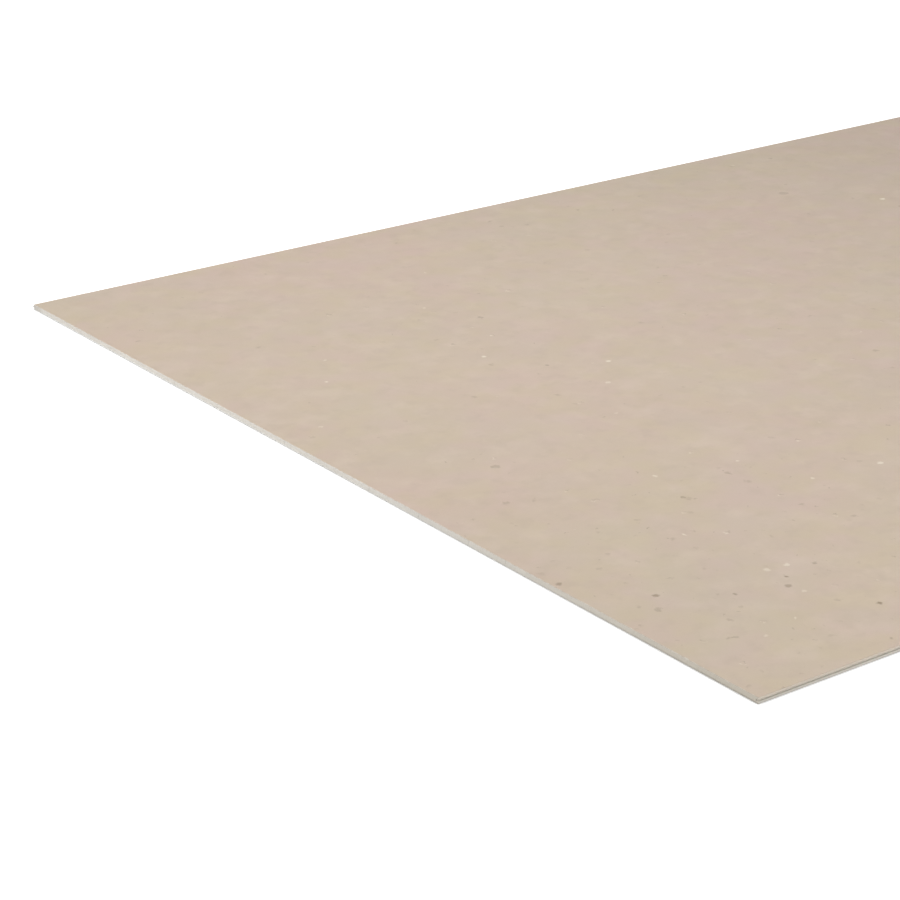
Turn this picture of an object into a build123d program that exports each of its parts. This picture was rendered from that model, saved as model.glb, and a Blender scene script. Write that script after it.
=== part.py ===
from build123d import *
import os

# Wall panel of rigid plastic with a printed stone-look face, cut from one extruded sheet.
# It lies on its back: X runs along the panel, Y across it from the groove to the tongue,
# and the printed face looks up along Z. The origin is below the middle, on the floor.

# The sheet, in millimetres
panel_length = 2600.0
cover_width = 900.0  # face that shows on the wall, from the groove edge to the tongue's shoulder
panel_thickness = 4.5

# Tongue and groove milled along the long edges, centred in the thickness
tongue_thickness = 1.0
tongue_reach = 2.0  # from the shoulder to the tip
joint_side_gap = 0.1  # play above and below a neighbour's tongue in the groove
joint_end_gap = 0.3  # depth left over past the tip of a neighbour's tongue
back_setback = 0.3  # the shoulder under the tongue stands back, so that the faces close first

# Eased edges
face_bevel = 0.3  # long edges of the printed face
back_bevel = 0.15  # long edges of the back
end_bevel = 0.2  # sawn ends, on the printed face and on the back
mouth_bevel = 0.15  # lead-in of the groove
tip_radius = 0.3  # rounded tip of the tongue

# The groove takes its size from the tongue that it receives
groove_height = tongue_thickness + 2 * joint_side_gap
groove_depth = tongue_reach + joint_end_gap
joint_height = panel_thickness / 2
groove_edge = -(cover_width + tongue_reach) / 2
shoulder = groove_edge + cover_width

with BuildPart() as wall_panel:
    with BuildSketch(Plane.YZ) as section:
        # Sheet between the groove edge and the shoulder
        with Locations((groove_edge, 0)):
            Rectangle(cover_width, panel_thickness, align=(Align.MIN, Align.MIN))
        # Relief under the tongue
        with Locations((shoulder, 0)):
            Rectangle(back_setback, joint_height, align=(Align.MAX, Align.MIN), mode=Mode.SUBTRACT)
        chamfer(section.vertices().group_by(Axis.Y)[-1], face_bevel)
        chamfer(section.vertices().group_by(Axis.Y)[0], back_bevel)
        # Tongue, rooted behind the relief
        with Locations((shoulder - back_setback, joint_height)):
            Rectangle(back_setback + tongue_reach, tongue_thickness, align=(Align.MIN, Align.CENTER))
        fillet(section.vertices().group_by(Axis.X)[-1], tip_radius)
        # Groove, with the two inner corners of its mouth eased
        with Locations((groove_edge, joint_height)):
            Rectangle(groove_depth, groove_height, align=(Align.MIN, Align.CENTER), mode=Mode.SUBTRACT)
        mouth = section.vertices().group_by(Axis.X)[0].sort_by(Axis.Y)[1:-1]
        chamfer(mouth, mouth_bevel)
    extrude(amount=panel_length / 2, both=True)
    # Sawn ends, eased along the back and the printed face
    level_faces = wall_panel.faces().filter_by(Axis.Z).sort_by(Axis.Z)
    sawn_edges = level_faces[0].edges() + level_faces[-1].edges()
    chamfer(sawn_edges.filter_by(Axis.Y), end_bevel)

wall_panel.part.label = "wall_panel"
os.makedirs("parts", exist_ok=True)
export_step(wall_panel.part, "parts/wall_panel.step")
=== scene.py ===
import math

import bmesh
import bpy
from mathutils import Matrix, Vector, noise


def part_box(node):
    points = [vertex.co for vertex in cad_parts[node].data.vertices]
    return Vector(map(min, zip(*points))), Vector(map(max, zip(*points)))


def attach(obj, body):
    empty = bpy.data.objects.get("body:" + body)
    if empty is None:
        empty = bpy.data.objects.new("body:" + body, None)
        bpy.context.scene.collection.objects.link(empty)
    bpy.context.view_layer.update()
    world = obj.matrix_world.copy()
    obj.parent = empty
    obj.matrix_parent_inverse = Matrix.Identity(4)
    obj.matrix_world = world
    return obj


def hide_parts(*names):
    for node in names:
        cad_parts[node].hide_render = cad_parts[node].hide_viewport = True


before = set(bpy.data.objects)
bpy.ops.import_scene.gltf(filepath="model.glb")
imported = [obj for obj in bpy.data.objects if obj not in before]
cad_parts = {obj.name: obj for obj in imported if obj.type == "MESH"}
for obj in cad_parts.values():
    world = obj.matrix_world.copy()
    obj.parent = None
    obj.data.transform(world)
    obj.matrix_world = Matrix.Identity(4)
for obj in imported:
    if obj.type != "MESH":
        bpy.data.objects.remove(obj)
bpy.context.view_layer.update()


# The sheet
# A thin sheet of rigid vinyl filled with stone powder, extruded flat and sawn to length.
# Its long edges are milled to a tongue and a groove, so that panels lock side by side.
low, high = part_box("wall_panel")
front, rear = low.x, high.x
groove_edge, tip = low.y, high.y
back, face = low.z, high.z
tongue_reach = 0.0020
tongue_thickness = 0.0010
joint_side_gap = 0.0001
joint_end_gap = 0.0003
back_setback = 0.0003
face_bevel = 0.0003
back_bevel = 0.00015
end_bevel = 0.0002
mouth_bevel = 0.00015
tip_radius = 0.0003
tip_steps = 4

groove_height = tongue_thickness + 2 * joint_side_gap
groove_depth = tongue_reach + joint_end_gap
shoulder = tip - tongue_reach
relief = shoulder - back_setback
groove_root = groove_edge + groove_depth
middle = (back + face) / 2
tongue_low, tongue_high = middle - tongue_thickness / 2, middle + tongue_thickness / 2
groove_low, groove_high = middle - groove_height / 2, middle + groove_height / 2
outline = [
    (groove_edge, back), (groove_edge, groove_low), (groove_root, groove_low),
    (groove_root, groove_high), (groove_edge, groove_high), (groove_edge, face),
    (shoulder, face), (shoulder, tongue_high), (tip, tongue_high),
    (tip, tongue_low), (relief, tongue_low), (relief, back),
]

sheet = bmesh.new()
section = sheet.faces.new([sheet.verts.new((front, y, z)) for y, z in outline])
drawn = bmesh.ops.extrude_face_region(sheet, geom=[section], use_keep_orig=True)
far_end = [v for v in drawn["geom"] if isinstance(v, bmesh.types.BMVert)]
bmesh.ops.translate(sheet, verts=far_end, vec=(rear - front, 0, 0))
bmesh.ops.recalc_face_normals(sheet, faces=sheet.faces)
hair = 1e-6


def lies(vert, place):
    """Whether a corner lies on this place, where None leaves an axis free."""
    return all(p is None or abs(c - p) < hair for c, p in zip(vert.co, place))


def edges_at(*places):
    """The edges that lie on one of these places."""
    return [e for e in sheet.edges if any(all(lies(v, p) for v in e.verts) for p in places)]


def ease(edges, width, steps=1):
    """Takes the sharpness off these edges: one step is a flat bevel, more are a rounding."""
    bmesh.ops.bevel(
        sheet, geom=edges, offset=width, affect="EDGES", segments=steps, profile=0.5, material=-1,
    )


ease(edges_at((None, groove_edge, face), (None, shoulder, face)), face_bevel)
ease(edges_at((None, groove_edge, back), (None, relief, back)), back_bevel)
ease(edges_at((None, groove_edge, groove_low), (None, groove_edge, groove_high)), mouth_bevel)
ease(edges_at((None, tip, tongue_low), (None, tip, tongue_high)), tip_radius, tip_steps)
ease(edges_at((front, None, face), (rear, None, face)), end_bevel)
ease(edges_at((front, None, back), (rear, None, back)), end_bevel)
bmesh.ops.remove_doubles(sheet, verts=sheet.verts, dist=hair)

# Each side gets its finish, and a number by which its pieces are found again in the flat layout
PRINT, MILLED, SAWN, BACK = range(4)
level = 0.99
endwise = 0.3
side = sheet.faces.layers.int.new("side")
sheet.faces.index_update()
for part in sheet.faces:
    spot = part.calc_center_median()
    if part.normal.z > level and spot.z > groove_high:
        part.material_index = PRINT
    elif part.normal.z < -level and spot.z < groove_low:
        part.material_index = BACK
    elif abs(part.normal.x) > endwise:
        part.material_index = SAWN
    else:
        part.material_index = MILLED
    part[side] = part.index
    part.smooth = spot.y > tip - tip_radius

# The saw nibbles the printed film along both cuts, deeper into the face than down the end
nibble_step = 0.0016
nibble_size = 0.0027
bite_size = 9 * nibble_size
bite_share = 0.7
least_nibble = 0.05
nibble_depth = 0.0005
nibble_drop = 0.0003


def nibbled(vert):
    """How much of the film is gone at this spot, from nothing to about one, the same each time."""
    nibble = noise.noise(vert.co / nibble_size)
    bite = noise.noise(vert.co / bite_size)
    return max(least_nibble * (1 + nibble), nibble + bite_share * bite)


for end, inward in ((front, 1), (rear, -1)):
    film_rim = (end + inward * end_bevel, None, face)
    end_rim = (end, None, face - end_bevel)
    cuts = round((shoulder - groove_edge) / nibble_step)
    split = bmesh.ops.subdivide_edges(sheet, edges=edges_at(film_rim, end_rim), cuts=cuts)
    for vert in split["geom_inner"]:
        if not isinstance(vert, bmesh.types.BMVert):
            continue
        if lies(vert, film_rim):
            vert.co.x += inward * nibble_depth * nibbled(vert)
        else:
            vert.co.z -= nibble_drop * nibbled(vert)

# A line of edges across the middle lets the face be laid out in two halves
whole = sheet.verts[:] + sheet.edges[:] + sheet.faces[:]
bmesh.ops.bisect_plane(sheet, geom=whole, plane_co=(0, 0, 0), plane_no=(1, 0, 0))
bmesh.ops.recalc_face_normals(sheet, faces=sheet.faces)

# Flat layout of all sides on one square, in rows that are given by their bottom and their top
flat = sheet.loops.layers.uv.new("OFBake")
flat_rim = 0.002
flat_rows = {"front face": (0.590, 0.998), "rear face": (0.180, 0.586), "back": (0.110, 0.176)}
edge_rows_top = 0.106
edge_row_fill = 0.8


def lay_out(parts, bottom, top):
    """Lays these faces side by side on a row of the square, the longest way along it."""
    loops = [loop for part in parts for loop in part.loops]
    starts = [min(loop.vert.co[axis] for loop in loops) for axis in range(3)]
    spans = [max(loop.vert.co[axis] for loop in loops) - starts[axis] for axis in range(3)]
    along, across = sorted(range(3), key=lambda axis: -spans[axis])[:2]
    for loop in loops:
        u = (loop.vert.co[along] - starts[along]) / spans[along]
        v = (loop.vert.co[across] - starts[across]) / spans[across]
        loop[flat].uv = (flat_rim + u * (1 - 2 * flat_rim), bottom + v * (top - bottom))


rows = {}
for part in sheet.faces:
    if part.material_index == PRINT:
        row = "rear face" if part.calc_center_median().x > 0 else "front face"
    elif part.material_index == BACK:
        row = "back"
    else:
        row = part[side]
    rows.setdefault(row, []).append(part)
for row, (bottom, top) in flat_rows.items():
    lay_out(rows.pop(row), bottom, top)
row_height = edge_rows_top / len(rows)
for order, parts in enumerate(rows.values()):
    lay_out(parts, order * row_height, (order + edge_row_fill) * row_height)
sheet.faces.layers.int.remove(side)

panel_mesh = bpy.data.meshes.new("panel")
sheet.to_mesh(panel_mesh)
sheet.free()
panel = bpy.data.objects.new("panel", panel_mesh)
bpy.context.collection.objects.link(panel)
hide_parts("wall_panel")
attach(panel, "root")


# The printed face
# A film printed as beige limestone is pressed onto the sheet under a clear matte wear layer.
# Its soft clouds, fine sand and scattered chips are ink, so the face itself is nearly smooth.
def srgb(red, green, blue):
    """A colour as it looks on a screen, turned into the linear light that the shaders take."""
    def linear(shade):
        shade /= 255
        return shade / 12.92 if shade <= 0.04045 else ((shade + 0.055) / 1.055) ** 2.4

    return (linear(red), linear(green), linear(blue), 1.0)


class Recipe:
    """The node tree of a finish, built up step by step. Lengths are in metres."""

    def __init__(self, owner):
        owner.use_nodes = True
        self.tree = owner.node_tree

    def give(self, socket, value):
        """Links a socket to another one, or sets it to a plain value."""
        if isinstance(value, bpy.types.NodeSocket):
            self.tree.links.new(value, socket)
        else:
            socket.default_value = value

    def put(self, kind, inputs=None, **options):
        """Adds a node with these options, and fills these inputs."""
        made = self.tree.nodes.new(kind)
        for name, option in options.items():
            setattr(made, name, option)
        for name, value in (inputs or {}).items():
            self.give(made.inputs[name], value)
        return made

    def work(self, operation, first, second, clamp=False):
        """One step of arithmetic."""
        inputs = {0: first, 1: second}
        return self.put("ShaderNodeMath", inputs, operation=operation, use_clamp=clamp).outputs[0]

    def vector(self, operation, first, second, output="Vector"):
        """One step of arithmetic between two places."""
        inputs = {0: first, 1: second}
        return self.put("ShaderNodeVectorMath", inputs, operation=operation).outputs[output]

    def parts(self, at):
        """The three coordinates of a place, by the names X, Y and Z."""
        return self.put("ShaderNodeSeparateXYZ", {"Vector": at}).outputs

    def stretch(self, value, start, end, to_start=0.0, to_end=1.0):
        """Carries a value from one range to another, held at both ends."""
        inputs = {"Value": value, "From Min": start, "From Max": end}
        inputs.update({"To Min": to_start, "To Max": to_end})
        return self.put("ShaderNodeMapRange", inputs, clamp=True).outputs["Result"]

    def overlap(self, cover, *others):
        """Where all of these cover at once."""
        for other in others:
            cover = self.work("MULTIPLY", cover, other)
        return cover

    def tint(self, base, ink, cover, strength=1.0):
        """Lays an ink over a colour where it covers, at this strength."""
        share = self.overlap(cover, strength)
        return self.put("ShaderNodeMix", {0: share, 6: base, 7: ink}, data_type="RGBA").outputs[2]

    def mottle(self, at, size, start=0.0, end=1.0, detail=3, grain=0.5):
        """Soft random patches of about this size, from none at start to full at end."""
        inputs = {"Vector": at, "Scale": 1 / size, "Detail": detail, "Roughness": grain}
        return self.stretch(self.put("ShaderNodeTexNoise", inputs).outputs["Fac"], start, end)

    def drawn_out(self, at, spans, start, end, detail=3):
        """Soft random patches with these spans along the three axes."""
        return self.mottle(self.vector("DIVIDE", at, spans), 1.0, start, end, detail)

    def chips(self, at, spacing, radii, share, blur):
        """Scattered chips of these radii: where they cover, a lot drawn for each, and its middle."""
        inputs = {"Vector": at, "Scale": 1 / spacing}
        grains = self.put("ShaderNodeTexVoronoi", inputs, voronoi_dimensions="2D").outputs
        lots = self.put("ShaderNodeSeparateColor", {"Color": grains["Color"]}).outputs
        least, most = radii
        radius = self.stretch(lots["Green"], 0, 1, least / spacing, most / spacing)
        inside = self.work("SUBTRACT", radius, grains["Distance"])
        cover = self.work("DIVIDE", inside, blur / spacing, clamp=True)
        chosen = self.work("LESS_THAN", lots["Red"], share)
        return self.overlap(cover, chosen), lots["Blue"], grains["Position"]

    def raise_up(self, height, distance, strength=1.0):
        """Fine relief, this high, for a shader's normal."""
        inputs = {"Height": height, "Distance": distance, "Strength": strength}
        return self.put("ShaderNodeBump", inputs).outputs["Normal"]


def new_finish(name, gloss):
    """A plastic finish for the panel: its recipe, its shader and the panel's own coordinates."""
    finish = bpy.data.materials.new(name)
    panel_mesh.materials.append(finish)
    recipe = Recipe(finish)
    shader = recipe.tree.nodes["Principled BSDF"].inputs
    shader["Specular IOR Level"].default_value = gloss
    return recipe, shader, recipe.put("ShaderNodeTexCoord").outputs["Object"]


stone, shader, at = new_finish("stone_print", gloss=0.2)
far_along, far_across = 3.1, 1.7


def elsewhere(at, step):
    """The same face shifted far away, where the random patches are other ones."""
    return stone.vector("ADD", at, (far_along * step, far_across * step, 0))


def veil(colour, ink, step, size, start, end, strength, detail=2, grain=0.5):
    """Lays soft patches of an ink over the ground colour."""
    patches = stone.mottle(elsewhere(at, step), size, start, end, detail, grain)
    return stone.tint(colour, ink, patches, strength)


# Broad clouds, grey and pale veils, small rosy and yellow tints, and fine sand
colour = stone.tint(srgb(208, 187, 172), srgb(205, 190, 169), stone.mottle(at, 0.26, 0.36, 0.64))
colour = veil(colour, srgb(197, 180, 164), 1, 0.11, 0.40, 0.72, strength=0.35, detail=4, grain=0.6)
colour = veil(colour, srgb(215, 198, 181), 2, 0.030, 0.48, 0.74, strength=0.62, detail=3, grain=0.6)
colour = veil(colour, srgb(210, 185, 177), 3, 0.045, 0.48, 0.64, strength=0.30)
colour = veil(colour, srgb(205, 190, 162), 4, 0.032, 0.48, 0.64, strength=0.40)
colour = veil(colour, srgb(205, 188, 179), 7, 0.070, 0.48, 0.64, strength=0.20)
colour = veil(colour, srgb(193, 176, 159), 5, 0.014, 0.52, 0.74, strength=0.30)
colour = veil(colour, srgb(190, 173, 154), 0, 0.0016, 0.30, 0.70, strength=0.10)

# Chips have torn outlines and lie in flocks, the thickest near the front corner on the groove side
ripple_size = 0.0035
torn_by, worn_by = 0.008, 0.004
ripple_inputs = {"Vector": at, "Scale": 1 / ripple_size, "Detail": 2}
ripples = stone.put("ShaderNodeTexNoise", ripple_inputs).outputs["Color"]
ripples = stone.vector("SUBTRACT", ripples, (0.5, 0.5, 0.5))
torn = stone.vector("ADD", at, stone.vector("MULTIPLY", ripples, (torn_by, torn_by, 0)))
worn = stone.vector("ADD", at, stone.vector("MULTIPLY", ripples, (worn_by, worn_by, 0)))
flock_middle = (front + 0.10, groove_edge + 0.14, face)
flock_reach = 0.26
flock_heart = 0.4 * flock_reach
flock_distance = stone.vector("DISTANCE", at, flock_middle, "Value")
corner_flock = stone.stretch(flock_distance, flock_heart, flock_reach, 1, 0)
other_flocks = stone.mottle(elsewhere(at, 6), 0.28, 0.60, 0.74, 2)
flocks = stone.work("MAXIMUM", corner_flock, other_flocks)


def shares(few, many):
    """The share of chips that show, from outside the flocks to inside them."""
    return stone.stretch(flocks, 0, 1, few, many)


def scatter(colour, ink, step, spacing, radii, share, blur, strength):
    """Lays scattered chips of an ink on the face, some fainter than others."""
    cover, lot, _ = stone.chips(elsewhere(torn, step), spacing, radii, shares(*share), blur)
    return stone.tint(colour, ink, cover, stone.stretch(lot, 0, 1, *strength))


dark_ink, white_ink = srgb(146, 128, 107), srgb(238, 229, 213)
smudge_ink, pore_ink = srgb(180, 162, 142), srgb(158, 140, 118)
colour = scatter(
    colour, smudge_ink, 0, spacing=0.018, radii=(0.0012, 0.0032), share=(0.06, 0.26), blur=0.0020,
    strength=(0.20, 0.70),
)
colour = scatter(
    colour, pore_ink, 1, spacing=0.010, radii=(0.0005, 0.0013), share=(0.03, 0.24), blur=0.0007,
    strength=(0.10, 0.55),
)
colour = scatter(
    colour, dark_ink, 2, spacing=0.024, radii=(0.0012, 0.0026), share=(0.012, 0.05), blur=0.0010,
    strength=(0.15, 0.45),
)
colour = scatter(
    colour, white_ink, 3, spacing=0.028, radii=(0.0011, 0.0024), share=(0.03, 0.05), blur=0.0009,
    strength=(0.15, 0.45),
)

# Pebbles show as a rim, dark on one side and light on the other
light_from = (-0.8, -0.6, 0)
rim_start, rim_full = 0.0001, 0.0010
pebble_at = elsewhere(torn, 4)
pebble, lot, pebble_middle = stone.chips(
    pebble_at, spacing=0.040, radii=(0.0012, 0.0026), share=shares(0.18, 0.40), blur=0.0016,
)
rim = stone.overlap(stone.stretch(pebble, 0, 0.3), stone.stretch(pebble, 0.4, 0.8, 1, 0))
outwards = stone.vector("SUBTRACT", pebble_at, pebble_middle)
lit_side = stone.vector("DOT_PRODUCT", outwards, light_from, "Value")
rim_strength = stone.stretch(lot, 0, 1, 0.20, 0.60)
lit = stone.overlap(rim, stone.stretch(lit_side, rim_start, rim_full))
shaded = stone.overlap(rim, stone.stretch(lit_side, -rim_start, -rim_full))
colour = stone.tint(colour, srgb(236, 226, 210), lit, rim_strength)
colour = stone.tint(colour, srgb(158, 140, 119), shaded, rim_strength)

# The chips that stand out most, each by its distance from the front end, its distance from the
# groove edge and its radius, all in millimetres, and by how much ink it has
bold_dark_chips = (
    (123, 105, 2.4, 0.55), (44, 145, 2.2, 0.65), (152, 51, 2.0, 0.80), (162, 121, 1.5, 0.45),
    (87, 116, 1.4, 0.60), (132, 116, 1.6, 0.75), (31, 128, 2.3, 0.36), (121, 10, 1.1, 0.50),
    (5, 196, 2.5, 0.60), (94, 380, 3.2, 0.35), (256, 524, 1.6, 0.45), (738, 764, 4.6, 0.24),
)
bold_white_chips = (
    (145, 130, 2.1, 0.48), (129, 132, 2.2, 0.40), (123, 208, 1.5, 0.58), (126, 93, 1.6, 0.35),
    (61, 59, 1.3, 0.35), (228, 570, 1.9, 0.70), (301, 502, 1.9, 0.65), (270, 465, 2.2, 0.40),
    (175, 298, 1.7, 0.45), (322, 220, 2.0, 0.60), (242, 284, 1.1, 0.75), (263, 228, 1.4, 0.60),
    (801, 694, 2.5, 0.90), (94, 597, 1.4, 0.70),
)
millimetre = 0.001
bold_blur = 1.4 * millimetre


def strew(chips):
    """How much ink these chips put on the face."""
    ink_laid = 0.0
    for along, across, radius, ink in chips:
        chip_middle = (front + along * millimetre, groove_edge + across * millimetre, face)
        away = stone.vector("DISTANCE", worn, chip_middle, "Value")
        chip_rim = radius * millimetre
        chip = stone.stretch(away, chip_rim - bold_blur / 2, chip_rim + bold_blur / 2, ink, 0)
        ink_laid = stone.work("MAXIMUM", ink_laid, chip)
    return ink_laid


colour = stone.tint(colour, dark_ink, strew(bold_dark_chips))
colour = stone.tint(colour, white_ink, strew(bold_white_chips))
stone.give(shader["Base Color"], colour)

# The wear layer is matte, a little uneven in its sheen, and very finely embossed
emboss_height = 0.00004
sheen_patches = stone.mottle(at, 0.02)
stone.give(shader["Roughness"], stone.stretch(sheen_patches, 0.3, 0.7, 0.54, 0.64))
emboss = stone.mottle(at, 0.0026, 0.2, 0.8, 2)
stone.give(shader["Normal"], stone.raise_up(emboss, emboss_height, strength=0.6))


# The milled edges
# The cutter leaves the pale core bare along the tongue, the groove and the bevels.
# Its marks run lengthwise as fine streaks, and the printed film ends in a frayed line above it.
film_thickness = 0.00015
film_fray = 0.004


def film_edge(recipe, at, colour):
    """Lays the frayed edge of the printed film over the top of a cut side."""
    frayed = recipe.stretch(recipe.mottle(at, film_fray, 0.35, 0.65), 0, 1, 2 * film_thickness, 0)
    below_face = recipe.work("SUBTRACT", face, recipe.parts(at)["Z"])
    covered = recipe.stretch(recipe.work("SUBTRACT", frayed, below_face), 0, film_thickness / 4)
    return recipe.tint(colour, srgb(203, 188, 171), covered)


core, shader, at = new_finish("milled_core", gloss=0.25)
place = core.parts(at)
streaks = core.drawn_out(at, (0.30, 0.0005, 0.0003), 0.35, 0.70)
colour = core.tint(srgb(219, 214, 205), srgb(206, 200, 189), streaks, strength=0.7)
scuffs = core.drawn_out(at, (0.012, 0.004, 0.0006), 0.58, 0.70, detail=4)
colour = core.tint(colour, srgb(232, 228, 219), scuffs, strength=0.6)

# Painted shade darkens the groove inside its mouth, and streaks of painted light brighten it further in
groove_shade_start, groove_shade_full = groove_edge + mouth_bevel / 2, groove_edge + 2 * mouth_bevel
groove_light_start, groove_light_full = groove_edge + 0.3 * groove_depth, groove_edge + 0.6 * groove_depth
in_groove = core.stretch(place["Y"], groove_shade_start, groove_shade_full)
in_groove = core.overlap(in_groove, core.work("LESS_THAN", place["Y"], groove_root + hair))
groove_painted_light = core.drawn_out(at, (0.010, 0.001, 0.001), 0.1, 0.4)
groove_painted_light = core.overlap(groove_painted_light, core.stretch(place["Y"], groove_light_start, groove_light_full))
groove_shade_and_light = core.tint(srgb(206, 200, 187), srgb(247, 244, 238), groove_painted_light)
colour = core.tint(colour, groove_shade_and_light, in_groove, strength=0.9)

# Painted light brightens the lip above the groove and the shoulder above the tongue near the joint,
# and the film's glue browns them towards the face
lip_light_and_glue = core.stretch(place["Z"], groove_high - mouth_bevel, groove_high)
near_film = core.stretch(place["Z"], groove_high, face - face_bevel)
lip_light_and_glue_tint = core.tint(srgb(232, 221, 203), srgb(210, 196, 177), near_film)
colour = core.tint(colour, lip_light_and_glue_tint, lip_light_and_glue, strength=0.7)
core.give(shader["Base Color"], film_edge(core, at, colour))
streak_height = 0.00002
core.give(shader["Roughness"], core.stretch(streaks, 0, 1, 0.46, 0.60))
core.give(shader["Normal"], core.raise_up(streaks, streak_height))


# The sawn ends
# The blade crosses the sheet, so its marks stand across the thickness, with a nick here and there.
# The stone powder shows as specks, and the foot has painted shade and painted light.
core, shader, at = new_finish("sawn_core", gloss=0.2)
place = core.parts(at)
blade_slant = 0.25
blade_at = core.work("ADD", place["Y"], core.work("MULTIPLY", place["Z"], blade_slant))
blade_place = core.put("ShaderNodeCombineXYZ", {"X": blade_at, "Y": place["Z"]}).outputs["Vector"]
marks = core.drawn_out(blade_place, (0.0009, 0.020, 1.0), 0.35, 0.70)
colour = core.tint(srgb(219, 214, 206), srgb(206, 200, 190), marks, strength=0.7)
burnish = core.drawn_out(blade_place, (0.035, 0.006, 1.0), 0.45, 0.75)
colour = core.tint(colour, srgb(228, 224, 216), burnish, strength=0.5)
speck, lot, _ = core.chips(
    blade_place, spacing=0.0016, radii=(0.00010, 0.00030), share=0.45, blur=0.00012,
)
colour = core.tint(colour, srgb(166, 161, 150), speck, core.stretch(lot, 0, 1, 0.1, 0.7))

# Nicks start at a height drawn for each, and run up to the face
nick_spacing = 0.055
nick_width = 0.0006
nick_share = 0.3
nick_inputs = {"W": blade_at, "Scale": 1 / nick_spacing}
nick = core.put("ShaderNodeTexVoronoi", nick_inputs, voronoi_dimensions="1D").outputs
lots = core.put("ShaderNodeSeparateColor", {"Color": nick["Color"]}).outputs
nick_foot = core.stretch(lots["Green"], 0, 1, back, middle)
nicks = core.overlap(
    core.stretch(nick["Distance"], 0, nick_width / nick_spacing, 1, 0),
    core.work("GREATER_THAN", place["Z"], nick_foot),
    core.work("LESS_THAN", lots["Red"], nick_share),
)
colour = core.tint(colour, srgb(140, 133, 120), nicks, strength=0.35)

# A stain and painted shade at the foot fade from the groove side, and painted light whitens the foot
# along the end, up to the corner on the tongue side, which is rubbed
stain_reach = 0.35
foot_shade_heart, foot_shade_reach = 0.05, 0.28
foot_shade_bottom = (back + 0.0002, back + 0.0005)
foot_shade_top = (back + 0.0009, back + 0.0014)
foot_light_reach = 0.75
foot_light_top = (back + 0.0005, back + 0.0012)
rub_reach = 0.018
stained_side = core.stretch(place["Y"], groove_edge, groove_edge + stain_reach, 1, 0)
colour = core.tint(colour, srgb(223, 211, 189), stained_side, strength=0.5)
# Painted shade darkens the foot near the groove side
painted_foot_shade = core.overlap(
    core.stretch(place["Z"], *foot_shade_bottom),
    core.stretch(place["Z"], *foot_shade_top, 1, 0),
    core.stretch(place["Y"], groove_edge + foot_shade_heart, groove_edge + foot_shade_reach, 1, 0.05),
    core.stretch(core.mottle(blade_place, 0.02), 0.3, 0.7, 0.6, 1.0),
)
colour = core.tint(colour, srgb(172, 169, 160), painted_foot_shade, strength=0.5)
# Painted light whitens the foot against the shade by the floor, more towards the tongue side
painted_foot_light = core.overlap(
    core.stretch(place["Z"], *foot_light_top, 1, 0),
    core.stretch(place["Y"], groove_edge + foot_shade_heart, groove_edge + foot_light_reach),
)
colour = core.tint(colour, srgb(238, 238, 236), painted_foot_light, strength=0.75)
rubbed_corner = core.stretch(place["Y"], shoulder - rub_reach, shoulder)
colour = core.tint(colour, srgb(190, 184, 175), rubbed_corner, strength=0.7)
core.give(shader["Base Color"], film_edge(core, at, colour))
mark_height = 0.00004
core.give(shader["Roughness"], core.stretch(marks, 0, 1, 0.55, 0.70))
core.give(shader["Normal"], core.raise_up(core.work("SUBTRACT", marks, nicks), mark_height))


# The back
# The bare underside of the sheet, smooth from the rollers, which is glued to the wall.
# It has faint lengthwise streaks, a few rubbed patches and the specks of the stone powder.
core, shader, at = new_finish("plain_back", gloss=0.25)
streaks = core.drawn_out(at, (1.2, 0.02, 1.0), 0.35, 0.70)
colour = core.tint(srgb(217, 212, 203), srgb(207, 201, 191), streaks, strength=0.7)
rubbed = core.mottle(at, 0.16, 0.50, 0.72, detail=5, grain=0.6)
colour = core.tint(colour, srgb(226, 222, 214), rubbed, strength=0.5)
speck, lot, _ = core.chips(at, spacing=0.009, radii=(0.0003, 0.0009), share=0.35, blur=0.0004)
colour = core.tint(colour, srgb(176, 170, 159), speck, core.stretch(lot, 0, 1, 0.1, 0.6))
scratches = core.drawn_out(at, (0.25, 0.0012, 1.0), 0.70, 0.76, detail=2)
colour = core.tint(colour, srgb(233, 230, 223), scratches, strength=0.6)
core.give(shader["Base Color"], colour)
roller_height = 0.00006
core.give(shader["Roughness"], core.stretch(rubbed, 0, 1, 0.52, 0.64))
core.give(shader["Normal"], core.raise_up(streaks, roller_height))


# The floor
# A plain white floor that the panel lies on.
# It glows where it is looked at, so that it looks white and still takes the panel's shadow.
floor_reach = 30.0
floor_gap = 0.0002
floor_white = 0.78
floor_lift = 0.75
contact_reach = 0.006
ground = bmesh.new()
bmesh.ops.create_grid(ground, x_segments=1, y_segments=1, size=floor_reach)
bmesh.ops.translate(ground, verts=ground.verts, vec=(0, 0, back - floor_gap))
floor_mesh = bpy.data.meshes.new("floor")
ground.to_mesh(floor_mesh)
ground.free()
floor = bpy.data.objects.new("floor", floor_mesh)
bpy.context.collection.objects.link(floor)


def looked_at(recipe):
    """One where the camera, a reflection or a clear body looks, and nothing for other light."""
    rays = recipe.put("ShaderNodeLightPath").outputs
    seen = recipe.work("MAXIMUM", rays["Is Camera Ray"], rays["Is Glossy Ray"])
    return recipe.work("MAXIMUM", seen, rays["Is Transmission Ray"])


white_floor = bpy.data.materials.new("white_floor")
floor_mesh.materials.append(white_floor)
paint = Recipe(white_floor)
shader = paint.tree.nodes["Principled BSDF"].inputs
shader["Base Color"].default_value = (floor_white, floor_white, floor_white, 1)
shader["Roughness"].default_value = 1.0
shader["Specular IOR Level"].default_value = 0.0
shader["Emission Color"].default_value = (1, 1, 1, 1)
# The glow dims close to the panel, where the panel hides the sky: a painted contact shadow
open_sky = paint.put("ShaderNodeAmbientOcclusion", {"Distance": contact_reach}).outputs["AO"]
paint.give(shader["Emission Strength"], paint.overlap(open_sky, floor_lift, looked_at(paint)))


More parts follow.
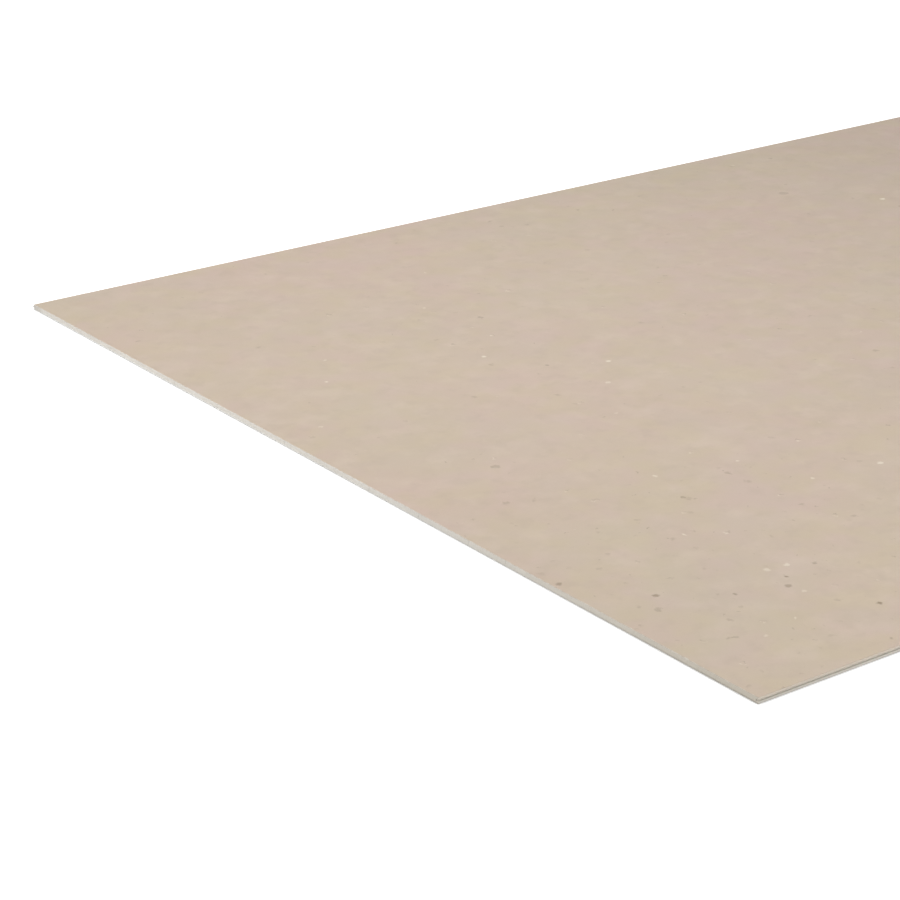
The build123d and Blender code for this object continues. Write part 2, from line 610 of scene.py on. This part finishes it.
# The studio
# A white room with a soft lamp above each end of the panel, and two lower ones that fill its edges.
# The room looks white, but lights the panel less than that.
room_light = 0.34
room = bpy.data.worlds.new("room")
bpy.context.scene.world = room
walls = Recipe(room)
background = walls.tree.nodes["Background"].inputs
background["Color"].default_value = (1, 1, 1, 1)
walls.give(background["Strength"], walls.stretch(looked_at(walls), 0, 1, room_light, 1.0))


def soft_lamp(name, place, target, width, height, power):
    """A rectangular soft box that faces its target."""
    box = bpy.data.lights.new(name, "AREA")
    box.shape = "RECTANGLE"
    box.size, box.size_y = width, height
    box.energy = power
    lamp = bpy.data.objects.new(name, box)
    lamp.location = place
    lamp.rotation_euler = (Vector(target) - Vector(place)).to_track_quat("-Z", "Y").to_euler()
    lamp.visible_camera = False
    bpy.context.collection.objects.link(lamp)


front_lit, rear_lit = front + 0.16, rear - 0.08
lamp_side, fill_side = groove_edge + 0.75, groove_edge + 0.68
fill_low = 0.12
fill_distance = 0.85
soft_lamp(
    "front_overhead", place=(front_lit, lamp_side, 1.19), target=(front_lit, lamp_side, 0),
    width=1.0, height=1.2, power=8.6,
)
soft_lamp(
    "rear_overhead", place=(rear_lit, 0, 1.3), target=(rear_lit, 0, 0),
    width=0.8, height=0.8, power=10.5,
)
soft_lamp(
    "front_fill", place=(front - fill_distance, fill_side, fill_low), target=(front, fill_side, fill_low),
    width=0.5, height=0.16, power=3.6,
)
soft_lamp(
    "groove_fill", place=(front + 0.35, groove_edge - fill_distance, 0.69),
    target=(front + 0.2, groove_edge, 0), width=0.5, height=0.2, power=5.1,
)


# The camera
# It stands low off the front corner on the groove side, and looks down across the panel.
# Its place is in metres from that corner, and its two angles are in degrees.
camera_lens = 106.2
camera_back, camera_aside, camera_height = 0.9866, 1.0224, 0.7322
camera_down, camera_turn = 21.988, 53.443
camera_data = bpy.data.cameras.new("camera")
camera_data.lens = camera_lens
camera = bpy.data.objects.new("camera", camera_data)
camera.location = (front - camera_back, groove_edge - camera_aside, back + camera_height)
camera.rotation_euler = (math.radians(90 - camera_down), 0, math.radians(camera_turn - 90))
bpy.context.collection.objects.link(camera)
bpy.context.scene.camera = camera
bpy.context.scene.view_settings.view_transform = "Standard"
